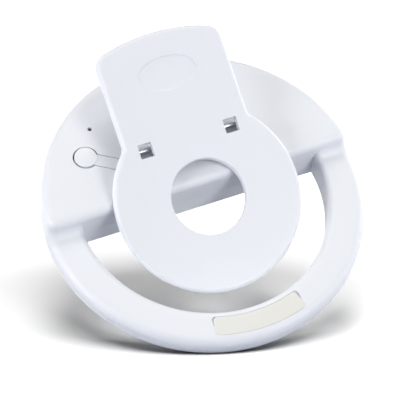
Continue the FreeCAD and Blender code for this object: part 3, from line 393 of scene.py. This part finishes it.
def floor_material():
    """A floor that is seen as pure white but keeps the object's shadow.

    Its underside lets everything through, so that the object can be seen from below.
    """
    material, tree, output = new_material("floor")
    seen = seen_directly(tree)
    cloth = tree.nodes.new("ShaderNodeBsdfDiffuse")
    tree.links.new(two_tone(tree, seen, FLOOR_BOUNCE, FLOOR_SEEN), cloth.inputs["Color"])
    glow = tree.nodes.new("ShaderNodeEmission")
    tree.links.new(floor_lift(tree, seen), glow.inputs["Strength"])
    both = tree.nodes.new("ShaderNodeAddShader")
    tree.links.new(cloth.outputs[0], both.inputs[0])
    tree.links.new(glow.outputs[0], both.inputs[1])
    clear = tree.nodes.new("ShaderNodeBsdfTransparent")
    faces = tree.nodes.new("ShaderNodeNewGeometry")
    side = tree.nodes.new("ShaderNodeMixShader")
    tree.links.new(faces.outputs["Backfacing"], side.inputs[0])
    tree.links.new(both.outputs[0], side.inputs[1])
    tree.links.new(clear.outputs[0], side.inputs[2])
    tree.links.new(side.outputs[0], output.inputs["Surface"])
    return material


def make_lamp(name, power, place):
    """A round soft lamp that faces the object."""
    lamp = bpy.data.lights.new(name, "AREA")
    lamp.shape = "DISK"
    lamp.size = LAMP_SIZE
    lamp.energy = power
    holder = bpy.data.objects.new(name, lamp)
    bpy.context.scene.collection.objects.link(holder)
    right, up, near = place
    stand = RIGHT * right + FLOOR_UP * up + FLOOR_NEAR * near
    holder.matrix_world = Matrix.Translation(stand) @ stand.to_track_quat("Z", "Y").to_matrix().to_4x4()
    return holder


def make_lamps():
    """Each group of lamps, with the pieces that it lights or leaves out."""
    groups = (
        ("off_floor", OBJECT_LAMPS, "EXCLUDE", ("floor",)),
        ("on_floor", FLOOR_LAMPS, "INCLUDE", ("floor",)),
        ("on_light_side", BACK_LAMPS, "INCLUDE", LIGHT_SIDE),
        ("on_clip_side", CLIP_LAMPS, "INCLUDE", CLIP_SIDE),
    )
    for name, lamps, state, pieces in groups:
        named = bpy.data.collections.new(name)
        for piece in pieces:
            named.objects.link(bpy.data.objects[piece])
        for member in named.collection_objects:
            member.light_linking.link_state = state
        for lamp_name, power, place in lamps:
            make_lamp(lamp_name, power, place).light_linking.receiver_collection = named


def make_floor():
    """The floor under the lowest point of the rim."""
    lowest = min(vertex.co.dot(FLOOR_UP) for vertex in NODES["front_frame"].data.vertices)
    mesh = bpy.data.meshes.new("floor")
    shape = bmesh.new()
    bmesh.ops.create_circle(shape, cap_ends=True, segments=FLOOR_SIDES, radius=FLOOR_RADIUS)
    shape.to_mesh(mesh)
    shape.free()
    mesh.materials.append(floor_material())
    floor = bpy.data.objects.new("floor", mesh)
    bpy.context.scene.collection.objects.link(floor)
    floor.matrix_world = from_axes(RIGHT, FLOOR_UP.cross(RIGHT), FLOOR_UP, FLOOR_UP * lowest)


def make_sky():
    """A sky that is seen as pure white and adds no light of its own."""
    world = bpy.data.worlds.new("studio")
    world.use_nodes = True
    bpy.context.scene.world = world
    tree = world.node_tree
    tree.nodes.clear()
    output = tree.nodes.new("ShaderNodeOutputWorld")
    white = tree.nodes.new("ShaderNodeBackground")
    white.inputs["Color"].default_value = SKY_COLOUR
    tree.links.new(seen_directly(tree), white.inputs["Strength"])
    tree.links.new(white.outputs[0], output.inputs["Surface"])


def make_materials():
    """One material for each of the record's slots, and those of the added details."""
    materials = {}
    for name, row in SURFACES.items():
        stretch = DRAWN_STRETCH if name in DRAWN else None
        materials[name] = surface(name, *row, stretch)
    for name, row in BOARDS.items():
        materials[name] = board_surface(name, *row)
    return materials


def dress_nodes(materials):
    """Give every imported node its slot's material."""
    slots = {row["node"]: row["material_slot"] for row in frame["record"]["subparts"]}
    for name, piece in NODES.items():
        piece.data.materials.clear()
        piece.data.materials.append(materials[slots[name]])


def new_piece(name, points, faces, material, body):
    """A mesh piece that rides on a body, if one is given."""
    mesh = bpy.data.meshes.new(name)
    mesh.from_pydata([tuple(point) for point in points], [], faces)
    mesh.materials.append(material)
    piece = bpy.data.objects.new(name, mesh)
    bpy.context.scene.collection.objects.link(piece)
    shape = bmesh.new()
    shape.from_mesh(mesh)
    bmesh.ops.recalc_face_normals(shape, faces=shape.faces)
    shape.to_mesh(mesh)
    shape.free()
    for face in mesh.polygons:
        face.use_smooth = True
    if body:
        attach(piece, body)
    return piece


def rounded_loop(half_length, half_width, corner):
    """Points of a rounded rectangle, the same count whatever its size."""
    corner = min(corner, half_width * PAD_LARGEST_CORNER)
    flat_length = half_length - corner
    flat_width = half_width - corner
    centres = [(flat_length, flat_width), (-flat_length, flat_width),
               (-flat_length, -flat_width), (flat_length, -flat_width)]
    points = []
    for index, (s, t) in enumerate(centres):
        start = QUARTER_TURN * index
        for step in range(PAD_CORNER_STEPS + 1):
            angle = math.radians(start + QUARTER_TURN * step / PAD_CORNER_STEPS)
            points.append((s + corner * math.cos(angle), t + corner * math.sin(angle)))
        next_s, next_t = centres[(index + 1) % len(centres)]
        next_angle = math.radians(start + QUARTER_TURN)
        first = points[-1]
        last = (next_s + corner * math.cos(next_angle), next_t + corner * math.sin(next_angle))
        run = PAD_STEPS_ALONG if index % 2 == 0 else PAD_STEPS_ACROSS
        for step in range(1, run):
            share = step / run
            points.append((first[0] + (last[0] - first[0]) * share, first[1] + (last[1] - first[1]) * share))
    return points


def pad_shape(half_length, half_width, corner, edge, thickness, crown, place):
    """A soft pad: rounded outline, rounded upper edge and a slightly raised middle.

    place turns (along, across, height) into a point of the object.
    """
    levels = [(0.0, 0.0)]
    for step in range(PAD_EDGE_STEPS + 1):
        angle = math.radians(QUARTER_TURN * step / PAD_EDGE_STEPS)
        levels.append((edge * (1.0 - math.cos(angle)), thickness - edge + edge * math.sin(angle)))
    reach = half_width * PAD_CROWN_REACH
    for step in range(1, PAD_CROWN_STEPS + 1):
        share = step / PAD_CROWN_STEPS
        levels.append((edge + (reach - edge) * share, thickness + crown * math.sin(share * math.pi / 2.0)))
    points = []
    loops = []
    for inset, height in levels:
        loop = rounded_loop(half_length - inset, half_width - inset,
                            max(corner - inset, corner * PAD_LEAST_CORNER))
        loops.append(range(len(points), len(points) + len(loop)))
        points += [place(s, t, height) for s, t in loop]
    faces = []
    for lower, upper in zip(loops[:-1], loops[1:]):
        count = len(lower)
        for index in range(count):
            after = (index + 1) % count
            faces.append((lower[index], lower[after], upper[after], upper[index]))
    faces.append(tuple(loops[-1]))
    faces.append(tuple(reversed(loops[0])))
    return points, faces


def make_ring_pad(materials):
    """The cream anti-slip pad let into the bottom of the ring."""
    low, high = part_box("ring_pad")
    outer = -low.z
    middle = outer - RING_PAD_HALF_WIDTH
    half_length = math.asin((high.x - low.x) / 2.0 / middle) * middle
    thickness = high.y - low.y

    def place(s, t, height):
        angle = s / middle
        radius = middle + t
        return Vector((radius * math.sin(angle), high.y - height, -radius * math.cos(angle)))

    points, faces = pad_shape(half_length, RING_PAD_HALF_WIDTH, RING_PAD_CORNER, RING_PAD_EDGE,
                              thickness - RING_PAD_CROWN, RING_PAD_CROWN, place)
    pad = new_piece("ring_pad_soft", points, faces, materials["cream_pad"], "root")
    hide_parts("ring_pad")


def on_clip(x, y, z):
    """A point given in the flat plate's own axes, from the hinge, put on the tilted clip."""
    tilted = Vector((x, y * math.cos(CLIP_TILT) - z * math.sin(CLIP_TILT),
                     y * math.sin(CLIP_TILT) + z * math.cos(CLIP_TILT)))
    return HINGE + tilted


def make_clip_pad(materials):
    """The soft crescent on the inner face of the clip's disc."""

    def place(s, t, height):
        angle = s / CLIP_PAD_MIDDLE_RADIUS
        radius = CLIP_PAD_MIDDLE_RADIUS + t
        return on_clip(radius * math.sin(angle), CLIP_PLATE_INNER + height,
                       CLIP_DISC_CENTRE - radius * math.cos(angle))

    half_length = CLIP_PAD_HALF_ANGLE * CLIP_PAD_MIDDLE_RADIUS
    points, faces = pad_shape(half_length, CLIP_PAD_HALF_WIDTH, CLIP_PAD_CORNER, CLIP_PAD_EDGE,
                              CLIP_PAD_THICKNESS - CLIP_PAD_CROWN, CLIP_PAD_CROWN, place)
    pad = new_piece("clip_pad_soft", points, faces, materials["grey_pad"], "clip")
    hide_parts("clip_pad")


def tube_along(path, radius, sides):
    """A round tube along close points, with closed ends."""
    points = []
    faces = []
    normal = (path[1] - path[0]).normalized().orthogonal().normalized()
    for index, centre in enumerate(path):
        before = path[max(index - 1, 0)]
        after = path[min(index + 1, len(path) - 1)]
        heading = (after - before).normalized()
        normal = (normal - heading * normal.dot(heading)).normalized()
        side = heading.cross(normal)
        for step in range(sides):
            angle = 2.0 * math.pi * step / sides
            points.append(centre + (normal * math.cos(angle) + side * math.sin(angle)) * radius)
    for ring in range(len(path) - 1):
        for step in range(sides):
            after = (step + 1) % sides
            faces.append((ring * sides + step, ring * sides + after, (ring + 1) * sides + after,
                          (ring + 1) * sides + step))
    faces.append(tuple(reversed(range(sides))))
    last = (len(path) - 1) * sides
    faces.append(tuple(range(last, last + sides)))
    return points, faces


def make_spring(materials):
    """The torsion spring, in its shape with the clip at rest; the real one winds up as the clip opens, but this
    wire stays as built.
    """
    total = 2.0 * math.pi * COIL_TURNS + math.pi - CLIP_TILT
    rise = COIL_PITCH / (2.0 * math.pi)
    steps = int(total / COIL_STEP)

    def coil(angle):
        return HINGE + Vector((rise * (-angle - total / 2.0), COIL_RADIUS * math.cos(angle),
                               COIL_RADIUS * math.sin(angle)))

    def heading(angle):
        return Vector((rise, COIL_RADIUS * math.sin(angle), -COIL_RADIUS * math.cos(angle))).normalized()

    path = [coil(0.0) - heading(0.0) * (SPRING_LEG * (1.0 - step / SPRING_LEG_STEPS))
            for step in range(SPRING_LEG_STEPS)]
    path += [coil(-total * step / steps) for step in range(steps + 1)]
    path += [coil(-total) + heading(-total) * (SPRING_LEG * step / SPRING_LEG_STEPS)
             for step in range(1, SPRING_LEG_STEPS + 1)]
    points, faces = tube_along(path, WIRE_RADIUS, WIRE_SIDES)
    spring = new_piece("spring_wire", points, faces, materials["spring_steel"], None)
    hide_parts("torsion_spring")
    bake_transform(spring)


def bevelled_block(low, high, edge):
    """Points and faces of a block with bevelled edges, as a small mesh."""
    shape = bmesh.new()
    bmesh.ops.create_cube(shape, size=1.0)
    for vertex in shape.verts:
        for axis in range(3):
            # The cube reaches half a unit to each side of its centre
            share = vertex.co[axis] + 0.5
            vertex.co[axis] = low[axis] + (high[axis] - low[axis]) * share
    bmesh.ops.bevel(shape, geom=list(shape.edges), offset=edge, segments=BLOCK_EDGE_STEPS,
                    profile=BLOCK_EDGE_PROFILE, affect="EDGES")
    shape.verts.index_update()
    points = [vertex.co.copy() for vertex in shape.verts]
    faces = [tuple(vertex.index for vertex in face.verts) for face in shape.faces]
    shape.free()
    return points, faces


def joined(parts):
    """Small meshes put together into one."""
    points = []
    faces = []
    for part_points, part_faces in parts:
        first = len(points)
        points += part_points
        faces += [tuple(first + corner for corner in face) for face in part_faces]
    return points, faces


def around_ring(parts, count):
    """Copies of small meshes placed about the ring's axis, as one mesh."""
    copies = []
    for index in range(count):
        turn = Matrix.Rotation(-2.0 * math.pi * index / count, 3, "Y")
        copies += [([turn @ point for point in points], faces) for points, faces in parts]
    return joined(copies)


def make_leds(materials):
    """The light sources: white bodies, silver ends and yellow windows."""
    low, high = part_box("leds")
    base = low.y
    top = base + LED_HEIGHT
    half_length = LED_LENGTH / 2.0
    half_width = LED_WIDTH / 2.0
    middle = high.x - half_width
    left = middle - half_width
    right = middle + half_width
    inner_left = middle - (half_width - LED_WALL)
    inner_right = middle + (half_width - LED_WALL)
    reach = half_length - LED_WALL
    inner_reach = half_length - 2.0 * LED_WALL

    bottom = bevelled_block((left, base, -reach), (right, top - LED_RIM, reach), LED_EDGE)
    walls = [
        bevelled_block((start_x, base, start_z), (end_x, top, end_z), LED_EDGE)
        for start_x, end_x, start_z, end_z in (
            (left, inner_left, -reach, reach),
            (inner_right, right, -reach, reach),
            (left, right, -reach, -inner_reach),
            (left, right, inner_reach, reach),
        )
    ]
    points, faces = around_ring([bottom, *walls], LED_COUNT)
    bodies = new_piece("led_bodies", points, faces, materials["led_body"], "root")
    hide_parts("leds")

    window = bevelled_block(
        (inner_left + LED_WINDOW_GAP, base + LED_RIM, -inner_reach + LED_WINDOW_GAP),
        (inner_right - LED_WINDOW_GAP, top - LED_WINDOW_SINK, inner_reach - LED_WINDOW_GAP),
        LED_EDGE,
    )
    points, faces = around_ring([window], LED_COUNT)
    new_piece("led_windows", points, faces, materials["led_phosphor"], "root")

    inside = reach - LED_END_OVERLAP
    ends = [
        bevelled_block((inner_left, base, start_z), (inner_right, base + LED_END_HEIGHT, end_z), LED_END_EDGE)
        for start_z, end_z in ((-half_length, -inside), (inside, half_length))
    ]
    points, faces = around_ring(ends, LED_COUNT)
    new_piece("led_ends", points, faces, materials["plated_steel"], "root")


def make_socket_contacts(materials):
    """The gilt contacts on the charging socket's tongue."""
    low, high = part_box("socket_tongue")
    centre_x = (low.x + high.x) / 2.0
    middle_y = (low.y + high.y) / 2.0
    parts = []
    for index in range(CONTACT_COUNT):
        x = centre_x + (index - CONTACT_COUNT // 2) * CONTACT_PITCH
        parts.append(bevelled_block(
            (x - CONTACT_HALF_WIDTH, middle_y - CONTACT_OUTER, low.z + CONTACT_START),
            (x + CONTACT_HALF_WIDTH, middle_y - CONTACT_INNER, high.z - CONTACT_END),
            CONTACT_EDGE,
        ))
    points, faces = joined(parts)
    new_piece("socket_contacts", points, faces, materials["gold_contact"], "root")


def main():
    """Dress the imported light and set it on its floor."""
    bpy.context.scene.view_settings.view_transform = "Standard"
    make_camera()
    make_floor()
    make_sky()
    materials = make_materials()
    dress_nodes(materials)
    make_ring_pad(materials)
    make_clip_pad(materials)
    make_spring(materials)
    make_leds(materials)
    make_socket_contacts(materials)
    make_lamps()


main()
